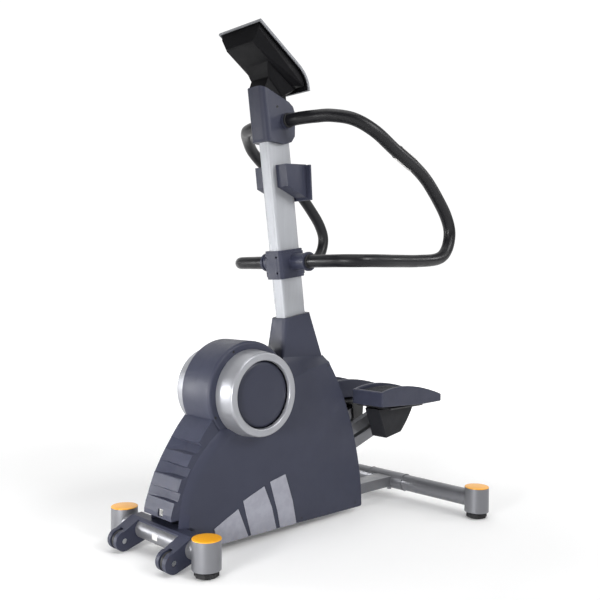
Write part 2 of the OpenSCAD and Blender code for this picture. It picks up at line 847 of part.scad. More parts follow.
// The start key: a dished round cap with a collar that keeps it in the fascia
module start_key() {
    color(amber) from_front() on_console() translate([0, 168, 0]) rotate_extrude() polygon([
        [0, -9.5], [14, -9.5], [14, -7.5], [11, -7.5], [11, -0.2], [9.8, 1], [6, 0.6], [0, 0.2]
    ]);
}

// A box under the console's face that tapers from one outline to a deeper, narrower one
module tapered_box(near, near_half, deep, deep_half) {
    hull() {
        slab(-near_half, near_half) polygon(near);
        slab(-deep_half, deep_half) polygon(deep);
    }
}

// The stepped back shell: a wide upper box, a narrower lower one and the neck on the mast head
module console_back() {
    color(black) from_front() difference() {
        union() {
            on_console() tapered_box([[8, -8.3], [14, -20], [246, -36], [238, -22], [203, -8.3]], 88,
                [[32, -49], [37, -53], [226, -48], [240, -42]], 64);
            on_console() tapered_box([[98, -40], [106, -46], [240, -50], [240, -40]], 58,
                [[136, -71], [146, -77], [222, -88], [238, -66]], 42);
            slab(-40, 40) polygon([[340, 1378], [428, 1349.5], [424, 1368], [366, 1410], [352, 1410]]);
        }
        on_console() tapered_box([[12, -14], [18, -22], [228, -30], [200, -14]], 85,
            [[36, -46], [40, -49], [222, -44], [228, -38]], 61);
        on_console() tapered_box([[104, -40], [110, -44], [228, -46], [228, -38]], 55,
            [[142, -69], [150, -73], [216, -83], [228, -64]], 39);
        on_console() translate([-80, 14, -16]) cube([160, 180, 12]);
        on_console() for (x = [-54, 54]) translate([x, 22, -60]) rotate([70, 0, 0])
            cylinder(r = 3.5, h = 60, center = true);
    }
}

// ---------------------------------------------------------------- covers

shoulder_in = 42;
bevel_in = 68.3;       // where the bevel of the front edge starts, from the middle plane
side_wall = cover_x - wall;
shoulder_cuts = [for (i = [0:6]) shoulder_in + i * (bevel_in - shoulder_in) / 6];
bevel_cuts = concat([for (i = [0:5]) bevel_in + i * (side_wall - bevel_in) / 5], [cover_x]);

// Front edge of a side cover: at the side face, and where its bevel starts
edge_out = [[29, 60], [31, 170], [78, 262], [199, 353]];
edge_in = [[4, 60], [6, 170], [16, 250], [150, 353]];

// The cover's top line at x: it rises from the side face to the neck
function cover_top(x, drop) =
    let (t = (x - shoulder_in) / (cover_x - shoulder_in))
    [
        [417 + 9 * t - drop, 544 - 65 * t - drop], [498, 542.5 - 40.5 * t - drop],
        [595 - 10 * t, 541 - 18 * t - drop]
    ];

// The cover's outline at x, thin shrinks it at the front and the top and opens it elsewhere
function cover_outline(x, thin) =
    let (
        t = (cover_x - x) / (cover_x - bevel_in),
        edge = [for (i = [0:3]) (1 - t) * edge_out[i] + t * edge_in[i] + [thin, 0]],
        drop = 2.2 * thin,
        past = 4 * thin
    )
    concat(
        curve(edge, 12),
        cover_top(x, drop),
        curve([[590 + past, 513 - drop], [674 + past, 395], [742 + past, 200], [746 + past, 22 - past]], 10),
        [[edge[0][0] - 2, 26 - past]]
    );

// The part of the outline at x that belongs to the shoulder only
function shoulder_outline(x, thin) =
    let (drop = 2.2 * thin, past = 4 * thin)
    concat(cover_top(x, drop), [[600 + past, 440 - past], [424 - past, 440 - past]]);

// A thin shell: a side face with a bevelled front edge and a shoulder, open at the rear and below
module side_cover(side) {
    lap = 0.05;
    color(slate) from_front() on_side(side) difference() {
        union() {
            for (i = [0:5]) slab(shoulder_cuts[i] - lap, shoulder_cuts[i + 1])
                polygon(shoulder_outline(shoulder_cuts[i], 0));
            for (i = [0:5]) slab(bevel_cuts[i] - lap, bevel_cuts[i + 1])
                polygon(cover_outline(bevel_cuts[i + 1], 0));
        }
        for (i = [0:5]) slab(shoulder_cuts[i] - (i > 0 ? 0 : 1), shoulder_cuts[i + 1])
            polygon(shoulder_outline(shoulder_cuts[i], 7));
        for (i = [0:4]) slab(bevel_cuts[i] - (i > 0 ? 0 : 1), bevel_cuts[i + 1])
            polygon(cover_outline(bevel_cuts[i + 1], 11));
        // the front tube and the saddle of the wheels' bracket
        rod_x([0, base_tube_z], base_tube_r + 0.5, 60, 100);
        slab(60, 100) polygon([[-20, 0], [25, 0], [26.6, 60], [30.6, 82], [24.6, 93.6], [-20, 93.6]]);
        rod_x(flywheel_axis, drum_r + gap, 0, drum_half + 0.6);
        rod_x(flywheel_axis, 131.5, 60, 100);
        for (hole = [[579, 511], [715, 38], [465, 36]]) rod_x(hole, 3.5, 60, 100);
    }
}

module left_side_cover() { side_cover(1); }
module right_side_cover() { side_cover(-1); }

// Three slanted light inlays low on each side cover
module cover_inlays() {
    pale_panels = [
        [[119, 73], [207, 114], [226, 70], [246, 24], [131, 24]],
        [[226, 134], [307, 164], [338, 95], [357, 24], [257, 24], [246, 62]],
        [[331, 173], [393, 187], [424, 100], [441, 24], [373, 24], [361, 80]]
    ];
    color(cover_grey) from_front() for (side = [-1, 1], shape = pale_panels) on_side(side)
        slab(cover_x + 0.05, cover_x + 2.6) polygon(shape);
}

// The front cover's smooth curve from its lower edge to the drum
louvre_curve = [
    [-19, 118], [-18.5, 131], [-14, 150], [-7, 169], [3, 197], [15, 227], [33, 260], [54, 294], [75, 325],
    [98, 356], [122, 383]
];
inlet_x = 1;           // the power inlet's right edge
// Undercut notches between the cover's blocks, as seen on the left edge
notches = [
    [[75, 325], [86, 314], [68, 295], [53, 292], [36, 292], [57, 325]],
    [[35, 263], [46, 253.5], [34, 233], [17, 230], [4, 230], [19, 263]],
    [[3, 197], [12.5, 190.5], [4, 169.7], [-8, 167], [-20, 167], [-12, 197]]
];

// The cover under the drum: stepped blocks that run out towards the right edge
module louvre_cover() {
    half = 67.9;
    color(slate) from_front() difference() {
        slab(-half, half) polygon(concat(
            louvre_curve, [[165, 383], [150, 330], [100, 250], [44, 160], [20, 118]]
        ));
        slab(-half + wall, half - wall) polygon(concat(
            [for (p = louvre_curve) p + [25, -2]], [[190, 400], [190, 300], [90, 90], [0, 90]]
        ));
        for (notch = notches) hull() {
            slab(0, half + 1) polygon(notch);
            slab(-half, -half + 1) polygon([notch[0] + [0.2, 0], notch[3] + [0.2, 0], notch[4], notch[5]]);
        }
        rod_x(flywheel_axis, drum_r + gap, -70, 70);
        slab(inlet_x, inlet_x + 24) polygon([[-40, 122], [60, 122], [60, 142], [-40, 142]]);
    }
}

module power_inlet() {
    color(black) from_front() translate([inlet_x + gap, -12, 122 + gap]) difference() {
        cube([24 - 2 * gap, 36, 20 - 2 * gap]);
        translate([3, -1, 3]) cube([18 - 2 * gap, 16, 14 - 2 * gap]);
    }
}

// A half of the drum, open where it sits in the housing
module drum_shell(side) {
    edge = 9;
    color(slate) from_front() on_side(side) difference() {
        at_flywheel() rotate([0, 90, 0]) rotate_extrude($fn = 128)
            polygon(concat(
                [[drum_r, 0.2]],
                [for (i = [0:6]) [drum_r, drum_half] + edge * [cos(i * 15) - 1, sin(i * 15) - 1]],
                [[104, drum_half], [104, drum_half - wall], [drum_r - edge, drum_half - wall],
                    [drum_r - wall, drum_half - edge], [drum_r - wall, 0.2]]
            ));
        slab(-1, 100) polygon([[150, 300], [215, 352], [424, 474], [460, 380], [400, 250], [200, 230]]);
        rod_x([198, 575], 3.5, 60, 80);
        rod_x([133, 389], 3.5, 60, 80);
    }
}

module left_drum_shell() { drum_shell(1); }
module right_drum_shell() { drum_shell(-1); }

// The silver rings: hollow, slightly conical, with a bevelled outer edge
module drum_rings() {
    color(silver) from_front() for (side = [-1, 1]) on_side(side)
        at_flywheel() rotate([0, 90, 0]) rotate_extrude($fn = 128) polygon([
            [130.5, drum_half + 0.2], [124, ring_face - 8], [120, ring_face - 2], [116, ring_face],
            [104, ring_face], [100, ring_face - 3], [99, ring_face - 12], [102, ring_face - 12],
            [103, ring_face - 4], [115, ring_face - 4], [120.5, ring_face - 9], [127, drum_half + 0.2]
        ]);
}

module drum_discs() {
    color(slate) from_front() for (side = [-1, 1]) on_side(side)
        at_flywheel() rotate([0, 90, 0]) rotate_extrude($fn = 128) polygon([
            [0, ring_face - 10], [82, ring_face - 10], [86, ring_face - 7], [94, ring_face - 7],
            [98.7, ring_face - 12], [98.7, ring_face - 16], [86, ring_face - 14], [0, ring_face - 14]
        ]);
}

// The collar's solid shape, thin shrinks it
module neck_shape(thin) {
    hull() {
        translate([0, 506, 500 - thin]) linear_extrude(1) round_rect(83.4 - 2 * thin, 176 - 2 * thin, 9);
        translate([0, 506, 541]) linear_extrude(1) round_rect(83.4 - 2 * thin, 176 - 2 * thin, 9);
        translate([0, 489, 674 - thin]) rotate([9.9, 0, 0]) linear_extrude(1)
            round_rect(72.6 - 2 * thin, 117 - 2 * thin, 17);
    }
}

// The collar that closes the housing round the column
module neck_cover() {
    color(slate) from_front() difference() {
        neck_shape(0);
        neck_shape(wall);
        along_column() translate([0, 0, 560]) linear_extrude(200) column_section(1);
        rod_x(flywheel_axis, drum_r + gap, -80, 80);
    }
}

main_frame();
front_base();
rear_base();
foot_caps();
pivot_bolts();
front_left_leveller();
front_right_leveller();
rear_left_leveller();
rear_right_leveller();
transport_bracket();
left_transport_wheel();
right_transport_wheel();
left_upper_arm();
right_upper_arm();
left_lower_arm();
right_lower_arm();
left_pedal_bracket();
right_pedal_bracket();
left_bracket_cover();
right_bracket_cover();
left_pedal();
right_pedal();
left_tread_mat();
right_tread_mat();
left_clutch_hub();
right_clutch_hub();
left_pull_strap();
right_pull_strap();
left_return_spring();
right_return_spring();
flywheel();
flywheel_shaft();
generator_stator();
drive_shaft();
drive_pulley();
drive_belt();
shaft_bearings();
column();
mast_head();
lower_clamp_front();
lower_clamp_rear();
left_handlebar();
right_handlebar();
cup_holder();
pulse_sensors();
console_back();
console_front();
console_trim();
display_lens();
start_key();
left_side_cover();
right_side_cover();
cover_inlays();
louvre_cover();
left_drum_shell();
right_drum_shell();
drum_rings();
drum_discs();
neck_cover();
power_inlet();
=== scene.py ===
import math

import bmesh
import bpy
from mathutils import Matrix, Vector


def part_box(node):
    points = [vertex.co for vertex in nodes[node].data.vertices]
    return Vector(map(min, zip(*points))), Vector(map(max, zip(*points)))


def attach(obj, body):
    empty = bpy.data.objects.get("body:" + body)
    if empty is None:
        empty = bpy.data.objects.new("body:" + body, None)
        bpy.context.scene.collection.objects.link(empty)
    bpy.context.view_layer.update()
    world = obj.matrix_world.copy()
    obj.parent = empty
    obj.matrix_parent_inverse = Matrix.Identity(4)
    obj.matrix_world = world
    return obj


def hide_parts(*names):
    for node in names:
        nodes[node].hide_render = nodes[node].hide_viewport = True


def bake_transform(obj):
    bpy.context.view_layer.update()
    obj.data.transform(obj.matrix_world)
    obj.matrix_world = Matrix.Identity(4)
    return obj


MM = 0.001

# ------------------------------------------------------------------ camera

FOCAL = 47.52
SENSOR = 36.0
YAW = math.radians(46.567)
PITCH = math.radians(1.194)
ROLL = math.radians(0.334)
CAMERA_AT = Vector((1.8819, -1.7249, 0.7767))


def make_camera():
    """The camera stands at the machine's front left, at waist height."""
    sight = Vector((-math.sin(YAW) * math.cos(PITCH), math.cos(YAW) * math.cos(PITCH), -math.sin(PITCH)))
    right = Vector((math.cos(YAW), math.sin(YAW), 0))
    up = right.cross(sight)
    right, up = (
        right * math.cos(ROLL) + up * math.sin(ROLL),
        up * math.cos(ROLL) - right * math.sin(ROLL),
    )
    turn = Matrix((right, up, -sight)).transposed().to_4x4()
    data = bpy.data.cameras.new("camera")
    data.lens = FOCAL
    data.sensor_width = SENSOR
    camera = bpy.data.objects.new("camera", data)
    camera.matrix_world = Matrix.Translation(CAMERA_AT) @ turn
    bpy.context.scene.collection.objects.link(camera)
    bpy.context.scene.camera = camera


make_camera()
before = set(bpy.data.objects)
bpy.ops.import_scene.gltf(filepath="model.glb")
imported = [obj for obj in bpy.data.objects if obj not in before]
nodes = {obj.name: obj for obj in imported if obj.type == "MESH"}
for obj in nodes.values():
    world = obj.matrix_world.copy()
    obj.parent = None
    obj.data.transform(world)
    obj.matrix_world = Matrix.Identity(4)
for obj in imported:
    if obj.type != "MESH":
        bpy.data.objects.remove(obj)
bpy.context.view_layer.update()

# ------------------------------------------------------------------ places taken from the frame

SIDES = (("left", 1), ("right", -1))


def middle(node):
    low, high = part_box(node)
    return (low + high) / 2


FRONT_AXIS = middle("front_base").y
COVER_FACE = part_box("left_side_cover")[1].x
DRUM_AXIS = middle("drum_rings")
RING_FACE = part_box("drum_rings")[1].x
DRUM_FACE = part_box("left_drum_shell")[1].x


def spot(x, y, z):
    """A point given in millimetres from the front feet's axis, on the floor in the middle plane."""
    return Vector((x * MM, y * MM + FRONT_AXIS, z * MM))


# ------------------------------------------------------------------ shader helpers


class Shader:
    """A material under construction: a principled shader and the nodes that feed it."""

    def __init__(self, name):
        self.material = bpy.data.materials.new(name)
        self.material.use_nodes = True
        self.tree = self.material.node_tree
        self.surface = self.tree.nodes["Principled BSDF"]
        self.place = self.add("ShaderNodeTexCoord").outputs["Object"]

    def add(self, kind, **values):
        node = self.tree.nodes.new(kind)
        for key, value in values.items():
            setattr(node, key, value)
        return node

    def link(self, source, target):
        self.tree.links.new(source, target)

    def stretched(self, scale):
        """Object coordinates multiplied by a scale on each axis."""
        mapping = self.add("ShaderNodeMapping")
        mapping.inputs["Scale"].default_value = scale
        self.link(self.place, mapping.inputs["Vector"])
        return mapping.outputs["Vector"]

    def noise(self, scale, detail=3.0, rough=0.55, place=None):
        node = self.add("ShaderNodeTexNoise")
        node.inputs["Scale"].default_value = scale
        node.inputs["Detail"].default_value = detail
        node.inputs["Roughness"].default_value = rough
        self.link(place or self.place, node.inputs["Vector"])
        return node.outputs["Fac"]

    def cells(self, scale, feature="F1"):
        node = self.add("ShaderNodeTexVoronoi", feature=feature)
        node.inputs["Scale"].default_value = scale
        self.link(self.place, node.inputs["Vector"])
        return node.outputs["Distance"]

    def spread(self, value, low, high, from_low=0.3, from_high=0.7):
        """The value moved from one range to another."""
        node = self.add("ShaderNodeMapRange")
        node.inputs["From Min"].default_value = from_low
        node.inputs["From Max"].default_value = from_high
        node.inputs["To Min"].default_value = low
        node.inputs["To Max"].default_value = high
        self.link(value, node.inputs["Value"])
        return node.outputs["Result"]

    def times(self, a, b):
        node = self.add("ShaderNodeMath", operation="MULTIPLY")
        self.link(a, node.inputs[0])
        if isinstance(b, float):
            node.inputs[1].default_value = b
        else:
            self.link(b, node.inputs[1])
        return node.outputs["Value"]

    def blend(self, share, a, b):
        """Colour a where share is 0 and b where it is 1."""
        node = self.add("ShaderNodeMix", data_type="RGBA")
        self.link(share, node.inputs["Factor"])
        for socket, colour in ((node.inputs[6], a), (node.inputs[7], b)):
            if isinstance(colour, tuple):
                socket.default_value = (*colour, 1)
            else:
                self.link(colour, socket)
        return node.outputs[2]

    def edges(self, low=0.52, high=0.6):
        """1 on convex edges, broken up by noise, and 0 elsewhere."""
        point = self.add("ShaderNodeNewGeometry").outputs["Pointiness"]
        return self.times(self.spread(point, 0, 1, low, high), self.spread(self.noise(38), 0, 1, 0.42, 0.62))

    def bump(self, height, distance, strength=1.0, under=None):
        node = self.add("ShaderNodeBump")
        node.inputs["Strength"].default_value = strength
        node.inputs["Distance"].default_value = distance
        self.link(height, node.inputs["Height"])
        if under:
            self.link(under, node.inputs["Normal"])
        return node.outputs["Normal"]

    def finish(self, colour, rough, normal, metal=0.0, coat=0.0, specular=0.5, sheen=0.0):
        self.link(colour, self.surface.inputs["Base Color"])
        self.link(rough, self.surface.inputs["Roughness"])
        self.link(normal, self.surface.inputs["Normal"])
        self.surface.inputs["Metallic"].default_value = metal
        self.surface.inputs["Coat Weight"].default_value = coat
        self.surface.inputs["Coat Roughness"].default_value = 0.12
        self.surface.inputs["Specular IOR Level"].default_value = specular
        self.surface.inputs["Sheen Weight"].default_value = sheen
        return self.material


def shade(colour, factor):
    return tuple(min(1.0, c * factor) for c in colour)


def textured_plastic(name, colour, rough=0.42, grain=1500.0, depth=0.00011, wear=0.25, specular=0.32):
    """Moulded plastic: a fine spark-eroded grain, cloudy tone, scuffed edges."""
    s = Shader(name)
    cloud = s.spread(s.noise(5.5, 4), 0, 1)
    tone = s.blend(cloud, shade(colour, 0.95), shade(colour, 1.06))
    scuffed = s.blend(s.times(s.edges(), wear), tone, shade(colour, 2.0))
    polish = s.spread(s.noise(26, 5), rough - 0.06, rough + 0.09)
    coarse = s.bump(s.noise(grain * 0.3, 2), depth * 0.8, 0.5)
    normal = s.bump(s.cells(grain), depth, 0.7, coarse)
    return s.finish(scuffed, polish, normal, specular=specular)


def metallic_paint(name, colour, rough=0.38, metal=0.65):
    """Silver powder coat: flakes, orange peel and faint handling marks."""
    s = Shader(name)
    flakes = s.spread(s.cells(2600), 0, 1, 0.1, 0.55)
    tone = s.blend(flakes, shade(colour, 0.86), shade(colour, 1.1))
    dusty = s.blend(s.spread(s.noise(7, 5), 0, 0.35, 0.45, 0.75), tone, shade(colour, 0.78))
    polish = s.spread(s.noise(30, 5), rough - 0.07, rough + 0.12)
    normal = s.bump(s.noise(420, 2), 0.00012, 0.5)
    return s.finish(dusty, polish, normal, metal=metal, coat=0.1)


def drawn_metal(name, colour, rough, along, metal=0.95, depth=0.00006):
    """Metal with fine lines that run along one axis: along is the low scale of that axis."""
    s = Shader(name)
    lines = s.noise(1.0, 4, 0.7, s.stretched(along))
    broad = s.noise(1.0, 2, 0.5, s.stretched(tuple(a * 0.12 for a in along)))
    tone = s.blend(s.spread(lines, 0, 1), shade(colour, 0.88), shade(colour, 1.08))
    stained = s.blend(s.spread(broad, 0, 0.4), tone, shade(colour, 0.84))
    polish = s.spread(lines, rough - 0.07, rough + 0.1)
    return s.finish(stained, polish, s.bump(lines, depth, 0.6), metal=metal)


def foam_rubber(name, colour, rough=0.46, grain=1300.0):
    """Closed-cell foam or moulded rubber: open pores, worn shiny patches and dust."""
    s = Shader(name)
    pores = s.cells(grain)
    tone = s.blend(s.spread(pores, 0, 1, 0.05, 0.5), shade(colour, 0.75), shade(colour, 1.15))
    dusty = s.blend(s.spread(s.noise(11, 5), 0, 0.3, 0.5, 0.8), tone, shade(colour, 2.0))
    polish = s.spread(s.noise(16, 4), rough - 0.1, rough + 0.14)
    normal = s.bump(pores, 0.00002, 0.3, s.bump(s.noise(60, 2), 0.0001, 0.1))
    return s.finish(dusty, polish, normal, specular=0.3)


def gloss_plastic(name, colour, rough=0.22, coat=0.4):
    """Polished moulding with faint flow lines and fine scratches."""
    s = Shader(name)
    flow = s.spread(s.noise(9, 3), 0, 1)
    tone = s.blend(flow, shade(colour, 0.92), shade(colour, 1.06))
    worn = s.blend(s.times(s.edges(), 0.3), tone, shade(colour, 1.35))
    scratches = s.noise(1.0, 5, 0.8, s.stretched((900, 60, 60)))
    polish = s.spread(scratches, rough - 0.05, rough + 0.14)
    return s.finish(worn, polish, s.bump(scratches, 0.00001, 0.3), coat=coat)


def woven_strap(name, colour):
    """Flat webbing with a plain weave."""
    s = Shader(name)
    waves = []
    for direction, scale in (("X", 420), ("Z", 260)):
        wave = s.add("ShaderNodeTexWave", bands_direction=direction)
        wave.inputs["Scale"].default_value = scale
        wave.inputs["Distortion"].default_value = 0.6
        s.link(s.place, wave.inputs["Vector"])
        waves.append(wave.outputs["Fac"])
    weave = s.times(*waves)
    tone = s.blend(s.spread(weave, 0, 1, 0.0, 1.0), shade(colour, 0.7), shade(colour, 1.8))
    polish = s.spread(s.noise(40), 0.7, 0.9)
    return s.finish(tone, polish, s.bump(weave, 0.0004, 0.8), sheen=0.3)


def cast_iron(name, colour):
    """Turned grey iron: fine turning rings over a grainy casting."""
    s = Shader(name)
    casting = s.noise(240, 5, 0.7)
    tone = s.blend(s.spread(casting, 0, 1), shade(colour, 0.75), shade(colour, 1.2))
    polish = s.spread(s.noise(50, 4), 0.35, 0.6)
    return s.finish(tone, polish, s.bump(casting, 0.0003, 0.5), metal=0.8)


SLATE = (0.03, 0.033, 0.0545)
PALE_GREY = (0.265, 0.268, 0.31)
SILVER = (0.19, 0.193, 0.208)

slate_plastic = textured_plastic("slate_plastic", SLATE)
disc_plastic = textured_plastic("disc_plastic", shade(SLATE, 0.85), 0.4)
black_plastic = textured_plastic("black_plastic", (0.005, 0.005, 0.006), 0.45, 1200, specular=0.1)
# near-black plastic for the bracket covers under the pedals: painted shade, darker than the housing's slate
painted_shade_plastic = textured_plastic("painted_shade_plastic", (0.012, 0.0125, 0.015), 0.5, 900, specular=0.2)
inlay_plastic = textured_plastic("inlay_plastic", PALE_GREY, 0.36, 1800, 0.00006)
trim_plastic = gloss_plastic("trim_plastic", (0.17, 0.175, 0.19), 0.35, 0.1)
amber_plastic = gloss_plastic("amber_plastic", (0.93, 0.41, 0.004), 0.3, 0.15)
green_key = gloss_plastic("green_key", (0.03, 0.3, 0.07), 0.3)
smoked_lens = gloss_plastic("smoked_lens", (0.006, 0.007, 0.009), 0.1, 0.8)
lit_segment = gloss_plastic("lit_segment", (0.85, 0.2, 0.03), 0.4, 0.1)
pale_plastic = gloss_plastic("pale_plastic", (0.62, 0.62, 0.6), 0.4, 0.1)
silver_paint = metallic_paint("silver_paint", SILVER)
ring_silver = metallic_paint("ring_silver", (0.33, 0.336, 0.36), 0.36, 0.65)
black_paint = metallic_paint("black_paint", (0.02, 0.02, 0.022), 0.4, 0.1)
anodised = drawn_metal("anodised", (0.37, 0.38, 0.405), 0.46, (900, 900, 14), 0.35)
steel = drawn_metal("steel", (0.48, 0.49, 0.5), 0.28, (30, 700, 700))
sensor_steel = drawn_metal("sensor_steel", (0.62, 0.61, 0.6), 0.5, (700, 60, 60), 0.25)
wire_steel = drawn_metal("wire_steel", (0.42, 0.43, 0.45), 0.3, (500, 500, 90))
foam = foam_rubber("foam", (0.006, 0.006, 0.0075), 0.36)
tyre_rubber = foam_rubber("tyre_rubber", (0.014, 0.014, 0.015), 0.55, 1500)
tread_rubber = foam_rubber("tread_rubber", (0.03, 0.032, 0.04), 0.6, 1100)
webbing = woven_strap("webbing", (0.02, 0.02, 0.022))
iron = cast_iron("iron", (0.24, 0.24, 0.25))
dark_steel = metallic_paint("dark_steel", (0.006, 0.006, 0.007), 0.4, 0.2)

# ------------------------------------------------------------------ mesh helpers


def dress(obj, material):
    obj.data.materials.clear()
    obj.data.materials.append(material)


def soften(obj, width, segments=2, angle=32.0, flatten=True):
    """Welds a mesh, joins its flat faces and rounds its sharp edges, all as modifiers."""
    weld = obj.modifiers.new("weld", "WELD")
    weld.merge_threshold = 0.00003
    if flatten:
        flat = obj.modifiers.new("flat", "DECIMATE")
        flat.decimate_type = "DISSOLVE"
        flat.angle_limit = math.radians(0.4)
    if width > 0:
        bevel = obj.modifiers.new("bevel", "BEVEL")
        bevel.width = width * MM
        bevel.segments = segments
        bevel.limit_method = "ANGLE"
        bevel.angle_limit = math.radians(angle)
        bevel.use_clamp_overlap = True
        bevel.harden_normals = False
    normals = obj.modifiers.new("normals", "WEIGHTED_NORMAL")
    normals.keep_sharp = True
    normals.weight = 60


def new_piece(name, bm, material, body, sharp=35.0):
    """Turns a bmesh into a smooth-shaded piece that rides a body."""
    mesh = bpy.data.meshes.new(name)
    bmesh.ops.recalc_face_normals(bm, faces=bm.faces)
    bm.to_mesh(mesh)
    bm.free()
    for polygon in mesh.polygons:
        polygon.use_smooth = True
    mesh.set_sharp_from_angle(angle=math.radians(sharp))
    obj = bpy.data.objects.new(name, mesh)
    bpy.context.scene.collection.objects.link(obj)
    mesh.materials.append(material)
    if body:
        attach(obj, body)
    return obj


def copied(node, name, material, body=None):
    """A welded, smooth copy of a CAD node that stands for it."""
    bm = bmesh.new()
    bm.from_mesh(nodes[node].data)
    bmesh.ops.remove_doubles(bm, verts=bm.verts, dist=0.00003)
    obj = new_piece(name, bm, material, body)
    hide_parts(node)
    return obj


def lathe(bm, profile, centre, axis, steps=32):
    """Adds a closed ring of faces: profile is [(radius, distance along the axis), ...] in millimetres."""
    axis = Vector(axis).normalized()
    side = axis.orthogonal().normalized()
    other = axis.cross(side)
    rings = []
    for i in range(steps):
        turn = 2 * math.pi * i / steps
        out = side * math.cos(turn) + other * math.sin(turn)
        rings.append([bm.verts.new(centre + out * (r * MM) + axis * (a * MM)) for r, a in profile])
    for i in range(steps):
        here, there = rings[i], rings[(i + 1) % steps]
        for k in range(len(profile) - 1):
            bm.faces.new((here[k], there[k], there[k + 1], here[k + 1]))
    for k in (0, len(profile) - 1):
        if profile[k][0] < 0.01:
            bmesh.ops.pointmerge(bm, verts=[ring[k] for ring in rings], merge_co=rings[0][k].co)


def rounded_slab(bm, centre, along, across, up, size, radius, steps=4):
    """Adds a plate with rounded corners and a chamfered top: size is (along, across, up) in millimetres."""
    along, across, up = (Vector(v).normalized() for v in (along, across, up))
    half_a, half_c = size[0] / 2, size[1] / 2
    chamfer = min(size[2] * 0.4, radius * 0.5)

    def ring(inset, height):
        points = []
        for sa, sc, start in ((1, 1, 0), (-1, 1, 90), (-1, -1, 180), (1, -1, 270)):
            for i in range(steps + 1):
                turn = math.radians(start + 90 * i / steps)
                a = sa * (half_a - radius) + (radius - inset) * math.cos(turn)
                c = sc * (half_c - radius) + (radius - inset) * math.sin(turn)
                points.append(bm.verts.new(centre + (along * a + across * c + up * height) * MM))
        return points

    rings = [ring(0, 0), ring(0, size[2] - chamfer), ring(chamfer, size[2])]
    for low, high in zip(rings, rings[1:]):
        for i in range(len(low)):
            k = (i + 1) % len(low)
            bm.faces.new((low[i], low[k], high[k], high[i]))
    bm.faces.new(rings[-1])
    bm.faces.new(list(reversed(rings[0])))


def bezier(points, steps):
    """Points of a cubic Bezier curve."""
    result = []
    for i in range(steps + 1):
        t = i / steps
        s = 1 - t
        weights = (s**3, 3 * s * s * t, 3 * s * t * t, t**3)
        result.append(tuple(sum(w * p[k] for w, p in zip(weights, points)) for k in (0, 1)))
    return result


# ------------------------------------------------------------------ CAD nodes that keep their shape


def finish_cad_nodes():
    """Gives each CAD node that stays its material and softened edges."""
    plan = [
        ("front_base", silver_paint, 0.8),
        ("rear_base", silver_paint, 0.8),
        ("foot_caps", amber_plastic, 0.6),
        ("main_frame", silver_paint, 1.2),
        ("pivot_bolts", steel, 0.8),
        ("transport_bracket", slate_plastic, 2.0),
        ("flywheel", iron, 1.0),
        ("flywheel_shaft", steel, 0.4),
        ("generator_stator", dark_steel, 0.5),
        ("drive_shaft", steel, 0.4),
        ("drive_pulley", black_plastic, 0.6),
        ("drive_belt", tyre_rubber, 0.3),
        ("shaft_bearings", steel, 0.4),
        ("column", anodised, 0.8),
        ("mast_head", slate_plastic, 5.0),
        ("lower_clamp_front", slate_plastic, 2.0),
        ("lower_clamp_rear", slate_plastic, 2.0),
        ("cup_holder", slate_plastic, 2.6),
        ("pulse_sensors", sensor_steel, 0.3),
        ("console_back", black_plastic, 3.5),
        ("console_front", black_plastic, 0.5),
        ("console_trim", trim_plastic, 1.0),
        ("display_lens", smoked_lens, 0.4),
        ("start_key", green_key, 0.4),
        ("cover_inlays", inlay_plastic, 0.8),
        ("louvre_cover", slate_plastic, 1.6),
        ("left_drum_shell", slate_plastic, 0.8),
        ("right_drum_shell", slate_plastic, 0.8),
        ("neck_cover", slate_plastic, 2.5),
        ("power_inlet", pale_plastic, 0.6),
    ]
    for corner in ("front_left", "front_right", "rear_left", "rear_right"):
        plan.append((corner + "_leveller", tyre_rubber, 1.2))
    for side, _ in SIDES:
        plan += [
            (side + "_transport_wheel", tyre_rubber, 0.6),
            (side + "_upper_arm", silver_paint, 1.2),
            (side + "_lower_arm", silver_paint, 1.2),
            (side + "_pedal_bracket", black_paint, 0.8),
            # the bracket covers take the near-black painted-shade plastic
            (side + "_bracket_cover", painted_shade_plastic, 1.6),
            (side + "_pedal", slate_plastic, 4.0),
            (side + "_tread_mat", tread_rubber, 0.8),
            (side + "_clutch_hub", steel, 0.5),
        ]
    for node, material, width in plan:
        dress(nodes[node], material)
        soften(nodes[node], width, 3 if width > 2 else 2)


# ------------------------------------------------------------------ side covers

WALL = 3.0
BEVEL_START = 68.3
SHOULDER_IN = 42.0
SADDLE_TOP = 94  # the strip stops above the front tube and the wheels' bracket
EDGE_OUT = ((29, 60), (31, 170), (78, 262), (199, 353))
EDGE_IN = ((4, 60), (6, 170), (16, 250), (150, 353))
REAR_EDGE = ((590, 513), (674, 395), (742, 200), (746, 30))


def top_line(t, steps=8):
    """The cover's top from front to rear: t is 0 at the neck and 1 at the side face."""
    rise = t**0.8
    front = (417 + 9 * t, 544 - 65 * rise)
    crown = (498, 542.5 - 40.5 * rise)
    rear = (595 - 10 * t, 541 - 18 * rise)
    mid = (crown[0] * 2 - (front[0] + rear[0]) / 2, crown[1] * 2 - (front[1] + rear[1]) / 2)
    points = []
    for i in range(steps + 1):
        u = i / steps
        weights = ((1 - u) ** 2, 2 * u * (1 - u), u * u)
        points.append(tuple(sum(w * p[k] for w, p in zip(weights, (front, mid, rear))) for k in (0, 1)))
    return points


